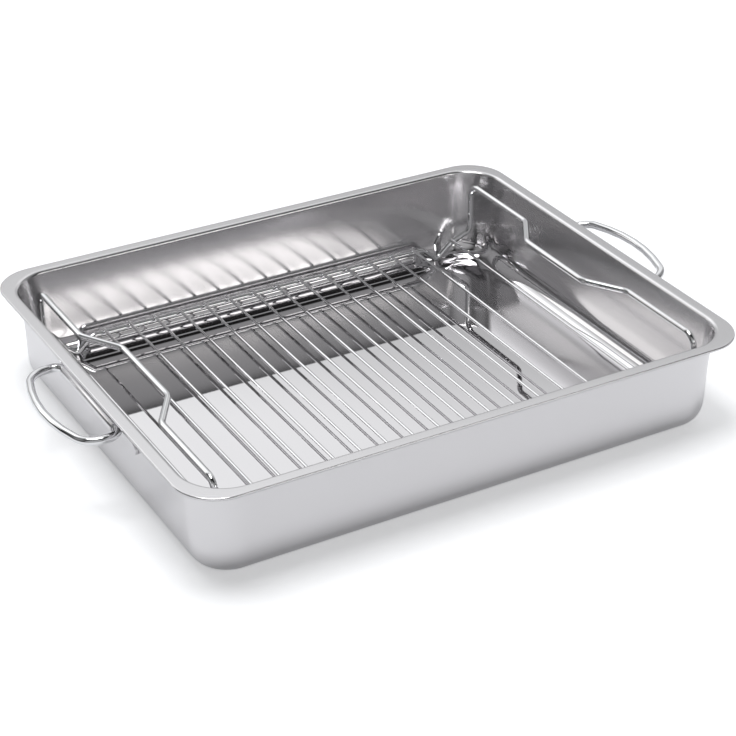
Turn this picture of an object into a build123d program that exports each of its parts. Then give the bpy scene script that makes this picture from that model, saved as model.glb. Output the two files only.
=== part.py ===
from build123d import *
import os
from math import acos, atan, cos, degrees, radians, sin, sqrt, tan

os.makedirs("parts", exist_ok=True)

# A rectangular roasting pan of stainless sheet with two swinging bail handles on its
# short sides, and a welded wire rack standing inside it. Lengths are in millimetres and
# angles in degrees. X runs along the pan, Z is up, and the origin is the middle of the
# underside of the base.

# The pan: one deep-drawn sheet with a flat flange and a turned-down lip.
sheet = 0.6
pan_length = 380.0
pan_width = 310.0
pan_height = 64.3
flange_width = 8.2
rim_corner = 27.0
lip_height = 1.5
lip_bend = 0.3
wall_corner = 28.2
wall_lean = 4.3
floor_round = 14.2
flange_round = 2.0

# The bail handles: bent wire bows, each closed by a straight bar that turns in a bracket.
bail_wire = 5.4
bail_half_width = 45.9
bail_reach = 30.0
bail_bow_radius = 113.0
bail_corner_radius = 14.0
bail_foot_radius = 7.0
bail_drop = 13.0
left_bail_angle = -2.0
right_bail_angle = 11.0

# The brackets: a strap spot-welded to the wall, with its middle rolled round the bar.
strap = 1.0
hinge_clearance = 0.06
knuckle_half_length = 38.0
knuckle_end_angle = 115.0
strap_half_length = 57.5
strap_top = 3.0
strap_bottom = 11.3
spot_weld = 4.0
spot_weld_dent = 0.25
spot_weld_drop = 8.6
spot_weld_places = (47.0, -29.0)

# The rack: a frame of thick wire with a V foot at each corner and a raised grip at each
# end, and thin wires welded across it. Its feet stand up the round between wall and floor,
# and its posts keep a gap to the short walls.
frame_wire = 4.2
cross_wire = 2.1
weld_depth = 0.3
rail_height = 13.4
joint_reach = 16.5
foot_offset = 6.28
foot_slope = 42.0
foot_bend = 5.0
foot_clearance = 0.3
shoulder_bend = 6.0
post_gap = 16.8
post_reach = 24.5
post_lean = 6.0
post_bottom = 24.0
post_foot_bend = 8.0
post_top_bend = 9.0
grip_height = 59.6
grip_step_start = 59.5
grip_step_end = 32.9
grip_inset = 16.6
grip_bend = 12.0
wire_count = 14
wire_margin = 4.08
end_wire_shift = 0.5
wire_overhang = 0.6
wire_end_round = 0.3

# One overrun serves every cut that has to run past a face.
overrun = 5.0

# Places and sizes that follow from the ones above: the wall at its top, its lean, and the
# hinge, whose bar lies off the wall by the strap and the bore rolled from it.
wall_half_length = pan_length / 2 - flange_width
wall_half_width = pan_width / 2 - flange_width
lean_angle = degrees(atan(wall_lean / pan_height))
lean_cos = cos(radians(lean_angle))
lean_sin = sin(radians(lean_angle))
bore_radius = bail_wire / 2 + hinge_clearance
knuckle_radius = bore_radius + strap
hinge_height = pan_height - bail_drop
wall_at_hinge = wall_half_length - bail_drop * wall_lean / pan_height
hinge_place = wall_at_hinge + knuckle_radius / lean_cos

# The V foot stands in the round between wall and floor, whose inside radius is floor_reach.
floor_reach = floor_round - sheet
round_place = wall_half_width - wall_lean + floor_round * wall_lean / pan_height - floor_round / lean_cos
rail_place = round_place + foot_offset
foot_height = floor_round + foot_clearance - sqrt((floor_reach - frame_wire / 2) ** 2 - foot_offset**2)
foot_corner = foot_height - foot_bend * (1 / cos(radians(foot_slope)) - 1)
foot_half_spread = (rail_height - foot_corner) / tan(radians(foot_slope))

# Along the pan the rack is laid out from its posts: the feet stand in from them, the rails'
# joints further in, and the thin wires are spread evenly between the joints.
post_place = wall_half_length - post_gap
foot_place = post_place - post_reach
rail_joint = foot_place - joint_reach
wire_pitch = 2 * (rail_joint - wire_margin) / (wire_count - 1)
end_wire_place = foot_place + foot_half_spread + end_wire_shift
wire_height = rail_height + frame_wire / 2 + cross_wire / 2 - weld_depth


def level_face(part, height, has_hole):
    """The horizontal face at a height, with or without a hole in it."""
    flat = part.faces().filter_by(Plane.XY).filter_by_position(Axis.Z, height - sheet / 2, height + sheet / 2)
    return [face for face in flat if bool(face.inner_wires()) == has_hole][0]


def finish(name, builder):
    """Labels a piece and writes it to its own file."""
    builder.part.label = name
    export_step(builder.part, f"parts/{name}.step")
    print(name, round(builder.part.volume, 1), "mm3")


# The hollow of the pan, wider at its mouth where the wall bends out into the flange.
with BuildPart() as hollow:
    with BuildSketch(Plane.XY.offset(pan_height)):
        RectangleRounded(2 * (wall_half_length - sheet), 2 * (wall_half_width - sheet), wall_corner - sheet)
    extrude(amount=-(pan_height - sheet), taper=lean_angle)
    fillet(hollow.edges().group_by(Axis.Z)[0], radius=floor_reach)
    with BuildSketch(Plane.XY.offset(pan_height)):
        RectangleRounded(pan_length + 2 * overrun, pan_width + 2 * overrun, rim_corner + overrun)
    extrude(amount=overrun)
    mouth = level_face(hollow, pan_height, True).inner_wires()[0]
    fillet(mouth.edges(), radius=flange_round + sheet)

# The pan itself: the drawn tub, its flange and the lip folded down round the flange.
with BuildPart() as pan:
    with BuildSketch(Plane.XY.offset(pan_height)):
        RectangleRounded(2 * wall_half_length, 2 * wall_half_width, wall_corner)
    extrude(amount=-pan_height, taper=lean_angle)
    fillet(pan.edges().group_by(Axis.Z)[0], radius=floor_round)
    with BuildSketch(Plane.XY.offset(pan_height - sheet)):
        RectangleRounded(pan_length, pan_width, rim_corner)
    extrude(amount=sheet)
    neck = level_face(pan, pan_height - sheet, True).inner_wires()[0]
    fillet(neck.edges(), radius=flange_round)
    with BuildSketch(Plane.XY.offset(pan_height - lip_height)):
        RectangleRounded(pan_length, pan_width, rim_corner)
        RectangleRounded(pan_length - 2 * sheet, pan_width - 2 * sheet, rim_corner - sheet, mode=Mode.SUBTRACT)
    extrude(amount=lip_height - sheet)
    fillet(level_face(pan, pan_height, False).outer_wire().edges(), radius=lip_bend + sheet)
    fillet(level_face(pan, pan_height - sheet, True).outer_wire().edges(), radius=lip_bend)
    add(hollow.part, mode=Mode.SUBTRACT)
finish("pan", pan)


def make_bracket(side):
    """One strap on a short wall; side is +1 at the +X end and -1 at the -X end."""
    outward = Vector(side * lean_cos, 0, -lean_sin)
    hinge = Vector(side * hinge_place, 0, hinge_height)
    wall = Plane(origin=hinge - outward * knuckle_radius, x_dir=(0, side, 0), z_dir=outward)
    section = Plane(origin=hinge, x_dir=outward, z_dir=(0, -side, 0))
    reach = 2 * knuckle_radius
    end = radians(180 + knuckle_end_angle)
    with BuildPart() as bracket:
        with BuildSketch(wall):
            with Locations((0, -(strap_top + strap_bottom) / 2)):
                SlotOverall(2 * strap_half_length, strap_bottom - strap_top)
        extrude(amount=strap)
        with BuildSketch(section):
            Circle(knuckle_radius)
            Circle(bore_radius, mode=Mode.SUBTRACT)
            with BuildLine():
                Polyline((0, 0), (-reach, 0), (-reach, -reach), (reach * cos(end), reach * sin(end)), close=True)
            make_face(mode=Mode.SUBTRACT)
            with Locations((-(knuckle_radius + bore_radius) / 2, -strap_bottom / 2)):
                Rectangle(strap, strap_bottom)
        extrude(amount=knuckle_half_length, both=True)
        with BuildSketch(wall.offset(strap)):
            with Locations(*[(place, -spot_weld_drop) for place in spot_weld_places]):
                Circle(spot_weld / 2)
        extrude(amount=-spot_weld_dent, mode=Mode.SUBTRACT)
    return bracket


def make_bail(side, angle):
    """One bow, raised by an angle over the level; half is bent and then mirrored."""
    lift = radians(angle)
    swing = Plane(
        origin=(side * hinge_place, 0, hinge_height),
        x_dir=(0, 1, 0),
        z_dir=(sin(lift), 0, -side * cos(lift)),
    )
    inner_span = bail_bow_radius - bail_corner_radius
    corner_turn = degrees(acos((bail_half_width - bail_corner_radius) / inner_span))
    corner_reach = bail_reach - bail_bow_radius + inner_span * sin(radians(corner_turn))
    with BuildPart() as bail:
        with BuildLine(swing):
            bar = Line((0, 0), (bail_half_width - bail_foot_radius, 0))
            foot = JernArc(bar @ 1, bar % 1, bail_foot_radius, 90)
            arm = Line((bail_half_width, bail_foot_radius), (bail_half_width, corner_reach))
            corner = JernArc(arm @ 1, arm % 1, bail_corner_radius, corner_turn)
            JernArc(corner @ 1, corner % 1, bail_bow_radius, 90 - corner_turn)
        with BuildSketch(Plane(origin=swing.origin, x_dir=(0, 0, 1), z_dir=(0, 1, 0))):
            Circle(bail_wire / 2)
        sweep()
        mirror(about=Plane.XZ)
    return bail


left_bracket = make_bracket(-1)
finish("left_bracket", left_bracket)
right_bracket = make_bracket(1)
finish("right_bracket", right_bracket)
left_bail = make_bail(-1, left_bail_angle)
finish("left_bail", left_bail)
right_bail = make_bail(1, right_bail_angle)
finish("right_bail", right_bail)


def make_rail(side):
    """One long rail of the rack; side is +1 at the back and -1 at the front."""
    with BuildPart() as rail:
        with BuildSketch(Plane(origin=(-rail_joint, side * rail_place, rail_height), z_dir=(1, 0, 0))):
            Circle(frame_wire / 2)
        extrude(amount=2 * rail_joint)
    return rail


def make_grip(side):
    """One end of the rack's frame, bent from a single wire between its rail joints."""
    post = rail_place - post_lean
    half = [
        (rail_joint, rail_place, rail_height),
        (foot_place - foot_half_spread, rail_place, rail_height),
        (foot_place, rail_place, foot_corner),
        (foot_place + foot_half_spread, rail_place, rail_height),
        (post_place, post, post_bottom),
        (post_place, post, grip_height),
        (post_place, grip_step_start, grip_height),
        (post_place - grip_inset, grip_step_end, grip_height),
    ]
    bends = [shoulder_bend, foot_bend, shoulder_bend, post_foot_bend, post_top_bend, grip_bend, grip_bend]
    back = [(side * x, y, z) for x, y, z in half]
    front = [(x, -y, z) for x, y, z in reversed(back)]
    with BuildPart() as grip:
        with BuildLine():
            FilletPolyline(*back, *front, radius=bends + bends[::-1])
        with BuildSketch(Plane(origin=back[0], x_dir=(0, 1, 0), z_dir=(side, 0, 0))):
            Circle(frame_wire / 2)
        sweep()
    return grip


back_rail = make_rail(1)
finish("rack_rail_back", back_rail)
front_rail = make_rail(-1)
finish("rack_rail_front", front_rail)
left_grip = make_grip(-1)
finish("rack_grip_left", left_grip)
right_grip = make_grip(1)
finish("rack_grip_right", right_grip)


def make_cross_wire(place, carriers):
    """One thin wire across the rack, saddled over the thick wires that carry it."""
    wire_half = rail_place + wire_overhang
    with BuildPart() as wire:
        with BuildSketch(Plane(origin=(place, -wire_half, wire_height), x_dir=(1, 0, 0), z_dir=(0, 1, 0))):
            Circle(cross_wire / 2)
        extrude(amount=2 * wire_half)
        fillet(wire.edges().filter_by(GeomType.CIRCLE), radius=wire_end_round)
        for carrier in carriers:
            add(carrier.part, mode=Mode.SUBTRACT)
    return wire


for number in range(wire_count):
    place = (number - (wire_count - 1) / 2) * wire_pitch
    finish(f"rack_wire_{number + 1:02d}", make_cross_wire(place, [back_rail, front_rail]))
finish("rack_end_wire_left", make_cross_wire(-end_wire_place, [left_grip]))
finish("rack_end_wire_right", make_cross_wire(end_wire_place, [right_grip]))
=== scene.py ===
from math import acos, atan, cos, pi, radians, sin, sqrt, tan

import bpy
from mathutils import Matrix, Vector


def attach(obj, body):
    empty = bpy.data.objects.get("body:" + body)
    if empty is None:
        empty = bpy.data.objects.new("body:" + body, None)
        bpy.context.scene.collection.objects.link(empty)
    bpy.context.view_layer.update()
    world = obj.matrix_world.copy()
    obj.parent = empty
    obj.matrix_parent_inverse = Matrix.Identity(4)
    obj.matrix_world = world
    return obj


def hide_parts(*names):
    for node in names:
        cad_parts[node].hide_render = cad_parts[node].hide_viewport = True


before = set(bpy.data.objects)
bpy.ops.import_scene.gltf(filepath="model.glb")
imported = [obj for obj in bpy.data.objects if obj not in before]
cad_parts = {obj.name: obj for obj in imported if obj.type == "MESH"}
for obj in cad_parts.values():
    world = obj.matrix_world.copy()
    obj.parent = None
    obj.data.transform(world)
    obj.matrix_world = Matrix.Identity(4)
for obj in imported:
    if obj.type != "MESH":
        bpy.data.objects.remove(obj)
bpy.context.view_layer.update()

mm = 0.001

# The camera stands to the left of the front and looks down on the pan at thirty degrees,
# through a long lens.
bpy.ops.object.select_all(action="DESELECT")
camera_place = Vector((-552.17, -977.35, 664.93)) * mm
camera_target = Vector((21.5, 27.3, 0)) * mm
bpy.ops.object.camera_add(location=camera_place)
camera = bpy.context.object
camera.rotation_euler = (camera_target - camera_place).to_track_quat("-Z", "Y").to_euler()
camera.data.sensor_width = 36
camera.data.lens = 98.5
bpy.context.scene.camera = camera
bpy.context.scene.view_settings.view_transform = "Standard"

# The table: a plain white sheet under the pan. The camera sees it as white, brighter far off
# where the lamps don't reach, and it keeps the pan's soft shadow. In the steel it is a very
# little brighter than its light makes it.
table_size = 12
table_depth = -0.2 * mm
table_dullness = 0.9
table_colour = (0.87, 0.88, 0.90, 1)
table_lift = 0.36
table_lift_far_off = 1.0
table_near = 0.7
table_far_off = 2.2
table_lift_in_steel = 0.12
bpy.ops.object.select_all(action="DESELECT")
bpy.ops.mesh.primitive_plane_add(size=table_size, location=(0, 0, table_depth))
table = bpy.context.object
table.name = "table"
table_paint = bpy.data.materials.new("white table")
table_paint.use_nodes = True
nodes = table_paint.node_tree.nodes
links = table_paint.node_tree.links
table_shader = nodes["Principled BSDF"]
table_shader.inputs["Base Color"].default_value = table_colour
table_shader.inputs["Roughness"].default_value = table_dullness
table_shader.inputs["Emission Color"].default_value = (1, 1, 1, 1)
light_path = nodes.new("ShaderNodeLightPath")
seen_in_steel = nodes.new("ShaderNodeMath")
seen_in_steel.operation = "MULTIPLY"
seen_in_steel.inputs[1].default_value = table_lift_in_steel
links.new(light_path.outputs["Is Glossy Ray"], seen_in_steel.inputs[0])
table_place = nodes.new("ShaderNodeTexCoord")
distance_off = nodes.new("ShaderNodeVectorMath")
distance_off.operation = "LENGTH"
links.new(table_place.outputs["Object"], distance_off.inputs[0])
lift = nodes.new("ShaderNodeMapRange")
lift.interpolation_type = "SMOOTHSTEP"
lift.inputs["From Min"].default_value = table_near
lift.inputs["From Max"].default_value = table_far_off
lift.inputs["To Min"].default_value = table_lift
lift.inputs["To Max"].default_value = table_lift_far_off
links.new(distance_off.outputs["Value"], lift.inputs["Value"])
seen = nodes.new("ShaderNodeMath")
seen.operation = "MULTIPLY_ADD"
links.new(light_path.outputs["Is Camera Ray"], seen.inputs[0])
links.new(lift.outputs["Result"], seen.inputs[1])
links.new(seen_in_steel.outputs["Value"], seen.inputs[2])
links.new(seen.outputs["Value"], table_shader.inputs["Emission Strength"])
table.data.materials.append(table_paint)

# The studio is dark with soft glows, because steel looks like whatever stands round it. The
# camera sees it as plain white. A glow has a bearing and a height in degrees, the angles from
# its middle at which it starts to fade and ends, and a strength.
studio_dark = 0.02
studio_tint = (0.98, 0.99, 1.0, 1)
studio_glows = (
    (75, 15, 40, 65, 0.56),
    (70, 65, 33.5, 38, 0.45),
    (102, 36, 6, 24, 0.60),
    (243, 22, 12, 45, 0.45),
    (298, 38, 5, 14, 0.40),
    (70, 30, 3, 12, 0.10),
    (170, 33, 8, 28, 0.26),
    (5, 28, 14, 40, 0.34),
)


def toward(bearing, rise):
    """Gives the direction of a bearing, counted from the pan's right end, and a height."""
    level_part = cos(radians(rise))
    along = level_part * cos(radians(bearing))
    return Vector((along, level_part * sin(radians(bearing)), sin(radians(rise))))


world = bpy.data.worlds.new("studio")
bpy.context.scene.world = world
world.use_nodes = True
nodes = world.node_tree.nodes
links = world.node_tree.links
nodes.clear()
direction = nodes.new("ShaderNodeTexCoord")
light = nodes.new("ShaderNodeValue")
light.outputs["Value"].default_value = studio_dark
for bearing, rise, fades_from, ends_at, strength in studio_glows:
    nearness = nodes.new("ShaderNodeVectorMath")
    nearness.operation = "DOT_PRODUCT"
    nearness.inputs[1].default_value = toward(bearing, rise)
    links.new(direction.outputs["Generated"], nearness.inputs[0])
    fade = nodes.new("ShaderNodeMapRange")
    fade.interpolation_type = "SMOOTHSTEP"
    fade.inputs["From Min"].default_value = cos(radians(ends_at))
    fade.inputs["From Max"].default_value = cos(radians(fades_from))
    fade.inputs["To Max"].default_value = strength
    links.new(nearness.outputs["Value"], fade.inputs["Value"])
    total = nodes.new("ShaderNodeMath")
    total.operation = "ADD"
    links.new(light.outputs["Value"], total.inputs[0])
    links.new(fade.outputs["Result"], total.inputs[1])
    light = total
room = nodes.new("ShaderNodeBackground")
room.inputs["Color"].default_value = studio_tint
links.new(light.outputs["Value"], room.inputs["Strength"])
white = nodes.new("ShaderNodeBackground")
white.inputs["Color"].default_value = (1, 1, 1, 1)
seen = nodes.new("ShaderNodeLightPath")
choose = nodes.new("ShaderNodeMixShader")
links.new(seen.outputs["Is Camera Ray"], choose.inputs["Fac"])
links.new(room.outputs["Background"], choose.inputs[1])
links.new(white.outputs["Background"], choose.inputs[2])
output = nodes.new("ShaderNodeOutputWorld")
links.new(choose.outputs["Shader"], output.inputs["Surface"])

# Three soft boxes: one overhead, one low at the front right, whose image fills the back wall,
# and a faint one at the back left. Each has a bearing and a rise, a distance, a width and a
# height, a brightness and a tint.
soft_boxes = (
    (180, 82, 2.0, 0.90, 0.90, 8.5, (1, 1, 1)),
    (295, 23.9, 1.5, 0.60, 0.29, 2.9, (1, 0.99, 0.97)),
    (130, 25, 1.8, 0.60, 0.45, 1.1, (1, 0.99, 0.97)),
)
for bearing, rise, distance, width, tall, brightness, tint in soft_boxes:
    place = toward(bearing, rise) * distance
    bpy.ops.object.select_all(action="DESELECT")
    bpy.ops.object.light_add(type="AREA", location=place)
    soft_box = bpy.context.object
    soft_box.rotation_euler = (-place).to_track_quat("-Z", "Y").to_euler()
    soft_box.data.shape = "RECTANGLE"
    soft_box.data.size = width
    soft_box.data.size_y = tall
    soft_box.data.energy = brightness * width * tall * pi
    soft_box.data.color = tint


# The pan is one sheet of stainless steel, deep-drawn: a flat flange, a round mouth, four bowed
# walls and a flat floor. Its upper face is laid out first and is then given the sheet's
# thickness. The lip is the flange's edge, folded down.
sheet = 0.6 * mm
rim_length = 380 * mm
rim_width = 310 * mm
rim_height = 64.3 * mm
rim_corner = 27 * mm
flange = 8.2 * mm
wall_corner = 28.2 * mm
wall_run = 4.3 * mm
wall_lean = atan(wall_run / rim_height)
mouth_lean = radians(11)
foot_lean = radians(10)
foot_curl = 12
mouth_bend = 2.6 * mm
floor_bend = 13.6 * mm
lip_drop = 1.5 * mm
lip_bend = 0.9 * mm
lip_steps = 5
corner_steps = 18
mouth_steps = 8
wall_steps = 24
floor_steps = 14
level = 0.01 * mm


def inset_bend(radius, turns):
    """Insets the selected face round a bend, from each turn off the level to the next."""
    for here, there in zip(turns, turns[1:]):
        inward = radius * abs(sin(there) - sin(here))
        drop = radius * abs(cos(there) - cos(here))
        bpy.ops.mesh.inset(thickness=inward, depth=-drop, use_even_offset=True)


def select_parts(mesh, kind, passes):
    """Selects, in edit mode, the vertices or the edges whose points all pass a test."""
    bpy.ops.mesh.select_all(action="DESELECT")
    bpy.ops.mesh.select_mode(type=kind)
    bpy.ops.object.mode_set(mode="OBJECT")
    if kind == "VERT":
        for vertex in mesh.vertices:
            vertex.select = passes(vertex.co)
    else:
        for edge in mesh.edges:
            edge.select = all(passes(mesh.vertices[end].co) for end in edge.vertices)
    bpy.ops.object.mode_set(mode="EDIT")


def apply_modifier(piece, kind, **settings):
    """Gives a piece one modifier and applies it."""
    bpy.ops.object.select_all(action="DESELECT")
    piece.select_set(True)
    bpy.context.view_layer.objects.active = piece
    modifier = piece.modifiers.new(kind.lower(), kind)
    for setting, value in settings.items():
        setattr(modifier, setting, value)
    bpy.ops.object.modifier_apply(modifier=modifier.name)


mouth_reach = mouth_bend * tan((pi / 2 - wall_lean) / 2)
floor_reach = floor_bend * tan((pi / 2 - wall_lean) / 2)
mouth_start = flange + sheet - mouth_reach
mouth_corner = wall_corner + flange - mouth_start

# Its walls are bowed: they stand upright over their foot and flare out more and more toward
# the mouth. Just above the floor's bend they curl in. The flare's power is the one that puts
# a wall's foot where a straight leaning wall would have it.
wall_in = (mouth_reach + floor_reach) + (rim_height - sheet) * tan(wall_lean)
wall_in -= mouth_bend * cos(mouth_lean) + floor_bend * cos(foot_lean)
bends_fall = mouth_bend * (1 - sin(mouth_lean)) + floor_bend * (1 - sin(foot_lean))
wall_fall = rim_height - sheet - bends_fall
curl_in = wall_fall * tan(foot_lean) / (foot_curl + 1)
flare_power = wall_fall * tan(mouth_lean) / (wall_in - curl_in) - 1


def wall_slope(depth):
    """Gives the wall's slope at a share of its depth, from its mouth at 0 to its foot at 1."""
    return tan(mouth_lean) * (1 - depth) ** flare_power + tan(foot_lean) * depth**foot_curl


bpy.ops.object.select_all(action="DESELECT")
bpy.ops.mesh.primitive_plane_add(size=1)
pan = bpy.context.object
pan.name = "drawn_pan"
bpy.ops.object.mode_set(mode="EDIT")
bpy.ops.mesh.select_all(action="SELECT")
bpy.ops.transform.resize(value=(rim_length - 2 * mouth_start, rim_width - 2 * mouth_start, 1))
bpy.ops.mesh.bevel(offset=mouth_corner, segments=corner_steps, affect="VERTICES")
mouth_turn = pi / 2 - mouth_lean
inset_bend(mouth_bend, [mouth_turn * step / mouth_steps for step in range(mouth_steps + 1)])
drop = wall_fall / wall_steps
for step in range(wall_steps):
    inward = drop * wall_slope((step + 0.5) / wall_steps)
    bpy.ops.mesh.inset(thickness=inward, depth=-drop, use_even_offset=True)
foot_turn = pi / 2 - foot_lean
inset_bend(floor_bend, [foot_turn * (1 - step / floor_steps) for step in range(floor_steps + 1)])

# Its flange is drawn out from the mouth's outline, lifted clear while its four corners are
# moved out and tightened to the rim's, and the lip is folded down from it.
select_parts(pan.data, "EDGE", lambda point: abs(point.z) < level)
bpy.ops.mesh.extrude_region_move(TRANSFORM_OT_translate={"value": (0, 0, rim_height)})
for along, across in ((-1, -1), (-1, 1), (1, -1), (1, 1)):
    in_corner = lambda point: point.z > level and point.x * along > 0 and point.y * across > 0
    select_parts(pan.data, "VERT", in_corner)
    corner_inset = mouth_start + mouth_corner
    centre = Vector((rim_length / 2 - corner_inset, rim_width / 2 - corner_inset, rim_height))
    centre *= Vector((along, across, 1))
    tighten = rim_corner / mouth_corner
    bpy.ops.transform.resize(value=(tighten, tighten, 1), center_override=centre)
    outward = mouth_start + mouth_corner - rim_corner
    bpy.ops.transform.translate(value=(along * outward, across * outward, 0))
select_parts(pan.data, "EDGE", lambda point: point.z > level)
bpy.ops.transform.translate(value=(0, 0, -rim_height))
bpy.ops.mesh.extrude_region_move(TRANSFORM_OT_translate={"value": (0, 0, -lip_drop)})


def on_rim(point):
    """Says whether a point lies on the pan's outline, straight sides and round corners alike."""
    along = max(abs(point.x) - rim_length / 2 + rim_corner, 0)
    across = max(abs(point.y) - rim_width / 2 + rim_corner, 0)
    return sqrt(along**2 + across**2) > rim_corner - level


select_parts(pan.data, "EDGE", lambda point: on_rim(point) and abs(point.z) < level)
bpy.ops.mesh.bevel(offset=lip_bend, segments=lip_steps)
bpy.ops.mesh.select_all(action="SELECT")
bpy.ops.transform.translate(value=(0, 0, rim_height))
bpy.ops.object.mode_set(mode="OBJECT")

# The steel is bare. Its walls are satin, with the faint upright marks of the press, and its
# floor and foot are bright. Each band of the walls has a share of the height and a dullness.
satin_tint = (0.72, 0.71, 0.72)
cloud_size = 14
cloud_detail = 3
cloud_shade = 0.97
polish_bands = ((0.03, 0.03), (0.14, 0.04), (0.27, 0.12), (0.38, 0.21), (0.99, 0.21))
mark_size = 900
mark_detail = 2
mark_stretch = (1, 1, 0.06)
mark_strength = 0.006
mark_depth = 0.1 * mm


def steel(name, tint, finish):
    """Makes a bare metal: its tint, and a finish that adds nodes to the shader and its links."""
    metal = bpy.data.materials.new(name)
    metal.use_nodes = True
    nodes = metal.node_tree.nodes
    links = metal.node_tree.links
    shader = nodes["Principled BSDF"]
    shader.inputs["Metallic"].default_value = 1
    place = nodes.new("ShaderNodeTexCoord")
    cloud = nodes.new("ShaderNodeTexNoise")
    cloud.inputs["Scale"].default_value = cloud_size
    cloud.inputs["Detail"].default_value = cloud_detail
    links.new(place.outputs["Object"], cloud.inputs["Vector"])
    colour = nodes.new("ShaderNodeMix")
    colour.data_type = "RGBA"
    colour.inputs["A"].default_value = (*[channel * cloud_shade for channel in tint], 1)
    colour.inputs["B"].default_value = (*tint, 1)
    links.new(cloud.outputs["Fac"], colour.inputs["Factor"])
    links.new(colour.outputs["Result"], shader.inputs["Base Color"])
    finish(nodes, links, shader, place)
    return metal


def satin_finish(nodes, links, shader, place):
    """Satin walls over a bright floor, with the faint upright drawing marks of the press."""
    heights = nodes.new("ShaderNodeSeparateXYZ")
    links.new(place.outputs["Object"], heights.inputs["Vector"])
    share = nodes.new("ShaderNodeMapRange")
    share.inputs["From Max"].default_value = rim_height
    links.new(heights.outputs["Z"], share.inputs["Value"])
    dullness = nodes.new("ShaderNodeValToRGB")
    dullness.color_ramp.interpolation = "EASE"
    bands = dullness.color_ramp.elements
    bands.remove(bands[1])
    bands[0].position, dull = polish_bands[0]
    bands[0].color = (dull, dull, dull, 1)
    for position, dull in polish_bands[1:]:
        band = bands.new(position)
        band.color = (dull, dull, dull, 1)
    links.new(share.outputs["Result"], dullness.inputs["Fac"])
    links.new(dullness.outputs["Color"], shader.inputs["Roughness"])
    stretch = nodes.new("ShaderNodeMapping")
    stretch.inputs["Scale"].default_value = mark_stretch
    links.new(place.outputs["Object"], stretch.inputs["Vector"])
    marks = nodes.new("ShaderNodeTexNoise")
    marks.inputs["Scale"].default_value = mark_size
    marks.inputs["Detail"].default_value = mark_detail
    links.new(stretch.outputs["Vector"], marks.inputs["Vector"])
    bump = nodes.new("ShaderNodeBump")
    bump.inputs["Strength"].default_value = mark_strength
    bump.inputs["Distance"].default_value = mark_depth
    links.new(marks.outputs["Fac"], bump.inputs["Height"])
    links.new(bump.outputs["Normal"], shader.inputs["Normal"])


satin_steel = steel("satin stainless sheet", satin_tint, satin_finish)
pan.data.materials.append(satin_steel)
apply_modifier(pan, "SOLIDIFY", thickness=sheet, offset=-1, use_even_offset=True)
bpy.ops.object.shade_smooth()
apply_modifier(pan, "WEIGHTED_NORMAL", weight=100, keep_sharp=True)
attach(pan, "pan_body")
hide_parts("pan")


# Each handle bracket is a strap of steel, spot-welded to a short wall. Its middle is rolled
# over and round the bail's bar, and its two ends are round. Its back is set in, to lie on the
# bowed wall. The right one is the left one turned half round.
strap = 1.0 * mm
wall_gap = 0.9 * mm
bail_wire = 5.4 * mm
bore_play = 0.06 * mm
bore_radius = bail_wire / 2 + bore_play
strap_length = 115 * mm
strap_top = -3.0 * mm
strap_bottom = -11.3 * mm
roll_length = 76 * mm
roll_turn = radians(245)
roll_steps = 30
weld_places = (47 * mm, -29 * mm)
weld_height = -8.6 * mm
weld_width = 4.0 * mm
weld_dent = 0.25 * mm
weld_facets = 96
end_steps = 10
edge_round = 0.2 * mm
edge_steps = 3
hinge_height = 51.3 * mm
wall_at_hinge = rim_length / 2 - flange - (rim_height - hinge_height) * tan(wall_lean)
hinge_place = wall_at_hinge + (bore_radius + strap) / cos(wall_lean)

bpy.ops.object.select_all(action="DESELECT")
bpy.ops.mesh.primitive_plane_add(size=1)
bracket = bpy.context.object
bracket.name = "left_strap"
bpy.ops.object.mode_set(mode="EDIT")
bpy.ops.mesh.select_all(action="SELECT")
bpy.ops.transform.resize(value=(strap_length, strap_top - strap_bottom, 1))
bpy.ops.transform.translate(value=(0, (strap_top + strap_bottom) / 2, -bore_radius))
round_end = (strap_top - strap_bottom) / 2 - level
bpy.ops.mesh.bevel(offset=round_end, segments=end_steps, affect="VERTICES")
for end in (-1, 1):
    bpy.ops.mesh.select_all(action="SELECT")
    bpy.ops.mesh.bisect(plane_co=(end * roll_length / 2, 0, 0), plane_no=(1, 0, 0))
in_roll = lambda point: abs(point.x) < roll_length / 2 + level and point.y > strap_top - level
select_parts(bracket.data, "EDGE", in_roll)
bpy.ops.mesh.extrude_region_move(TRANSFORM_OT_translate={"value": (0, -strap_top, 0)})
bpy.ops.mesh.spin(steps=roll_steps, angle=roll_turn, center=(0, 0, 0), axis=(-1, 0, 0))
bpy.ops.object.mode_set(mode="OBJECT")
apply_modifier(bracket, "SOLIDIFY", thickness=strap, offset=-1, use_even_offset=True)
on_back = lambda point: point.z < -bore_radius - strap + level and point.y < strap_top + level
bpy.ops.object.mode_set(mode="EDIT")
select_parts(bracket.data, "VERT", on_back)
bpy.ops.transform.translate(value=(0, 0, -wall_gap))
bpy.ops.object.mode_set(mode="OBJECT")
at_edges = {"segments": edge_steps, "limit_method": "ANGLE", "angle_limit": radians(50)}
apply_modifier(bracket, "BEVEL", width=edge_round, **at_edges)

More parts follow.
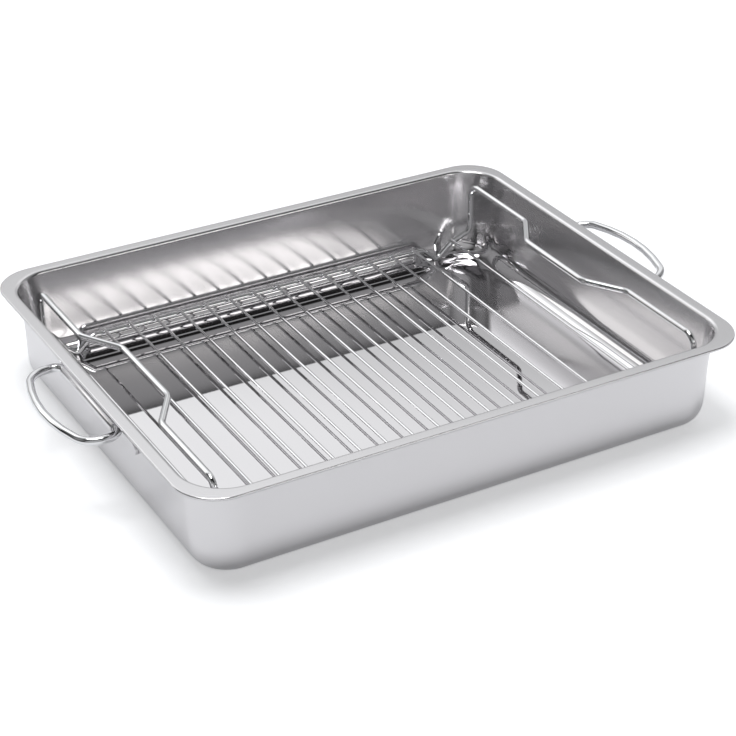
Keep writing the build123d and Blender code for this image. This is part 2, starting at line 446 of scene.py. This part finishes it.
# Each spot weld is the shallow round dent that the welding tip leaves in the strap.
for place in weld_places:
    dish_radius = ((weld_width / 2) ** 2 + weld_dent**2) / (2 * weld_dent)
    bpy.ops.object.select_all(action="DESELECT")
    bpy.ops.mesh.primitive_uv_sphere_add(
        segments=weld_facets,
        ring_count=weld_facets,
        radius=dish_radius,
        location=(-place, weld_height, -bore_radius + dish_radius - weld_dent),
    )
    tip = bpy.context.object
    apply_modifier(bracket, "BOOLEAN", object=tip, operation="DIFFERENCE", solver="EXACT")
    bpy.data.objects.remove(tip)
bpy.ops.object.shade_smooth_by_angle(angle=radians(35))
up_wall = (-sin(wall_lean), 0, cos(wall_lean))
off_wall = (-cos(wall_lean), 0, -sin(wall_lean))
on_wall = Matrix(((0, -1, 0), up_wall, off_wall)).transposed().to_4x4()
bracket.matrix_world = Matrix.Translation((-hinge_place, 0, hinge_height)) @ on_wall
bpy.ops.object.transform_apply()
bracket.data.materials.append(satin_steel)
bpy.ops.object.duplicate()
right_bracket = bpy.context.object
right_bracket.name = "right_strap"
right_bracket.rotation_euler = (0, 0, pi)
bpy.ops.object.transform_apply()
for strap_piece, side in ((bracket, "left"), (right_bracket, "right")):
    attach(strap_piece, "pan_body")
    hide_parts(side + "_bracket")


# Each bail is a bow of bright stainless wire, bent round to a straight bar that turns in the
# bracket. The wire's two ends meet inside the bracket, where the joint doesn't show.
bail_half_width = 45.9 * mm
bail_reach = 30 * mm
left_rest = radians(-2)
right_rest = radians(11)
bow_radius = 113 * mm
bow_corner = 14 * mm
bow_foot = 7 * mm
bend_step = radians(6)
bail_sides = 32
sharp_edge = radians(40)
wire_tint = (0.76, 0.76, 0.77)
spot_size = 120
spot_detail = 4
wire_dullness = (0.01, 0.04)
wave_size = 300
wave_strength = 0.02
wave_depth = 0.05 * mm


def bright_finish(nodes, links, shader, place):
    """Bright drawn wire, with very slight waves and a few dull spots in its polish."""
    spots = nodes.new("ShaderNodeTexNoise")
    spots.inputs["Scale"].default_value = spot_size
    spots.inputs["Detail"].default_value = spot_detail
    links.new(place.outputs["Object"], spots.inputs["Vector"])
    dullness = nodes.new("ShaderNodeMapRange")
    dullness.inputs["To Min"].default_value = wire_dullness[0]
    dullness.inputs["To Max"].default_value = wire_dullness[1]
    links.new(spots.outputs["Fac"], dullness.inputs["Value"])
    links.new(dullness.outputs["Result"], shader.inputs["Roughness"])
    waves = nodes.new("ShaderNodeTexNoise")
    waves.inputs["Scale"].default_value = wave_size
    links.new(place.outputs["Object"], waves.inputs["Vector"])
    bump = nodes.new("ShaderNodeBump")
    bump.inputs["Strength"].default_value = wave_strength
    bump.inputs["Distance"].default_value = wave_depth
    links.new(waves.outputs["Fac"], bump.inputs["Height"])
    links.new(bump.outputs["Normal"], shader.inputs["Normal"])


bright_steel = steel("bright stainless wire", wire_tint, bright_finish)


def bend_wire(name, wire, corners, bends, sides=24, cap=True):
    """Bends a wire as a maker does: a straight run, then a bend of its own radius, and so on."""
    corners = [Vector(corner) for corner in corners]
    along = (corners[1] - corners[0]).normalized()
    bpy.ops.object.select_all(action="DESELECT")
    facing = along.to_track_quat("Z", "Y").to_euler()
    bpy.ops.mesh.primitive_circle_add(
        vertices=sides, radius=wire / 2, location=corners[0], rotation=facing
    )
    piece = bpy.context.object
    piece.name = name
    bpy.ops.object.transform_apply()
    bpy.ops.object.mode_set(mode="EDIT")
    bpy.ops.mesh.select_all(action="SELECT")
    here = corners[0]
    for before, corner, after, bend in zip(corners, corners[1:], corners[2:], bends):
        into = (corner - before).normalized()
        out = (after - corner).normalized()
        turn = into.angle(out)
        axis = into.cross(out).normalized()
        start = corner - into * bend * tan(turn / 2)
        bpy.ops.mesh.extrude_region_move(TRANSFORM_OT_translate={"value": start - here})
        centre = start + axis.cross(into) * bend
        steps = max(2, round(turn / bend_step))
        bpy.ops.mesh.spin(steps=steps, angle=turn, center=centre, axis=-axis)
        here = corner + out * bend * tan(turn / 2)
    bpy.ops.mesh.extrude_region_move(TRANSFORM_OT_translate={"value": corners[-1] - here})
    bpy.ops.mesh.select_all(action="SELECT")
    bpy.ops.mesh.remove_doubles(threshold=level)
    if cap:
        bpy.ops.mesh.select_all(action="DESELECT")
        bpy.ops.mesh.select_mode(type="EDGE")
        bpy.ops.mesh.select_non_manifold()
        bpy.ops.mesh.fill_holes(sides=0)
    bpy.ops.mesh.select_all(action="SELECT")
    bpy.ops.mesh.normals_make_consistent(inside=False)
    bpy.ops.object.mode_set(mode="OBJECT")
    bpy.ops.object.shade_smooth_by_angle(angle=sharp_edge)
    piece.data.materials.append(bright_steel)
    return piece


corner_span = bow_radius - bow_corner
corner_turn = acos((bail_half_width - bow_corner) / corner_span)
bow_centre = bail_reach - bow_radius
corner_up = bow_centre + corner_span * sin(corner_turn) + bow_corner * tan(corner_turn / 2)
crown_up = bow_centre + bow_radius / sin(corner_turn)
for side, angle, name in ((-1, left_rest, "left"), (1, right_rest, "right")):
    half = [(bail_half_width, 0), (bail_half_width, corner_up), (0, crown_up)]
    outline = [(0, 0)] + half + [(-across, out) for across, out in half[1::-1]] + [(0, 0)]
    corners = [
        (side * (hinge_place + out * cos(angle)), across, hinge_height + out * sin(angle))
        for across, out in outline
    ]
    bends = [bow_foot, bow_corner, bow_radius, bow_corner, bow_foot]
    bow = bend_wire(name + "_bow", bail_wire, corners, bends, sides=bail_sides, cap=False)
    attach(bow, name + "_bail_body")
    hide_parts(name + "_bail")


# The rack's frame is thick bright wire. Two straight rails are butt-welded to two end wires,
# each bent into a V foot, a post, the stepped grip bar, and a post and a foot again.
frame_wire = 4.2 * mm
rail_height = 13.4 * mm
foot_offset = 6.28 * mm
foot_slope = radians(42)
foot_bend = 5 * mm
foot_clearance = 0.3 * mm
shoulder_bend = 6 * mm
post_gap = 16.8 * mm
post_reach = 24.5 * mm
post_lean = 6 * mm
post_bottom = 24 * mm
post_foot_bend = 8 * mm
post_top_bend = 9 * mm
grip_height = 59.6 * mm
grip_step_start = 59.5 * mm
grip_step_end = 32.9 * mm
grip_inset = 16.6 * mm
grip_bend = 12 * mm
joint_reach = 16.5 * mm

outer_bend = floor_bend + sheet
round_drop = (rim_height - outer_bend) * tan(wall_lean)
rail_place = rim_width / 2 - flange - round_drop - outer_bend / cos(wall_lean) + foot_offset
foot_drop = sqrt((floor_bend - frame_wire / 2) ** 2 - foot_offset**2)
foot_height = outer_bend + foot_clearance - foot_drop
foot_corner = foot_height - foot_bend * (1 / cos(foot_slope) - 1)
foot_spread = (rail_height - foot_corner) / tan(foot_slope)
post_place = rim_length / 2 - flange - post_gap
foot_place = post_place - post_reach
rail_joint = foot_place - joint_reach
for side, name in ((1, "back"), (-1, "front")):
    ends = [(end * rail_joint, side * rail_place, rail_height) for end in (-1, 1)]
    rail = bend_wire(name + "_rail_wire", frame_wire, ends, [])
    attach(rail, "rack_body")
    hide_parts("rack_rail_" + name)
for side, name in ((-1, "left"), (1, "right")):
    half = [
        (rail_joint, rail_place, rail_height),
        (foot_place - foot_spread, rail_place, rail_height),
        (foot_place, rail_place, foot_corner),
        (foot_place + foot_spread, rail_place, rail_height),
        (post_place, rail_place - post_lean, post_bottom),
        (post_place, rail_place - post_lean, grip_height),
        (post_place, grip_step_start, grip_height),
        (post_place - grip_inset, grip_step_end, grip_height),
    ]
    back = [(side * x, y, z) for x, y, z in half]
    front = [(x, -y, z) for x, y, z in reversed(back)]
    foot_bends = [shoulder_bend, foot_bend, shoulder_bend]
    bends = foot_bends + [post_foot_bend, post_top_bend, grip_bend, grip_bend]
    grip = bend_wire(name + "_grip_wire", frame_wire, back + front, bends + bends[::-1])
    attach(grip, "rack_body")
    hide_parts("rack_grip_" + name)


# The cross wires are thin bright wire, cut to length with rounded ends and welded down on the
# rails, fourteen between the joints and one on each pair of end shoulders.
cross_wire = 2.1 * mm
weld_depth = 0.3 * mm
wire_count = 14
wire_margin = 4.08 * mm
wire_overhang = 0.6 * mm
end_wire_shift = 0.5 * mm
wire_sides = 20
wire_end_round = 0.3 * mm
wire_height = rail_height + (frame_wire + cross_wire) / 2 - weld_depth
wire_pitch = 2 * (rail_joint - wire_margin) / (wire_count - 1)
end_wire_place = foot_place + foot_spread + end_wire_shift
wires = []
for number in range(wire_count):
    place = (number - (wire_count - 1) / 2) * wire_pitch
    wires.append((f"cross_wire_{number + 1:02d}", f"rack_wire_{number + 1:02d}", place))
for side, name in ((-1, "left"), (1, "right")):
    wires.append((name + "_end_wire", "rack_end_wire_" + name, side * end_wire_place))
at_ends = {"segments": edge_steps, "limit_method": "ANGLE", "angle_limit": radians(60)}
for name, node, place in wires:
    ends = [(place, end * (rail_place + wire_overhang), wire_height) for end in (-1, 1)]
    wire = bend_wire(name, cross_wire, ends, [], sides=wire_sides)
    apply_modifier(wire, "BEVEL", width=wire_end_round, **at_ends)
    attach(wire, "rack_body")
    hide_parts(node)
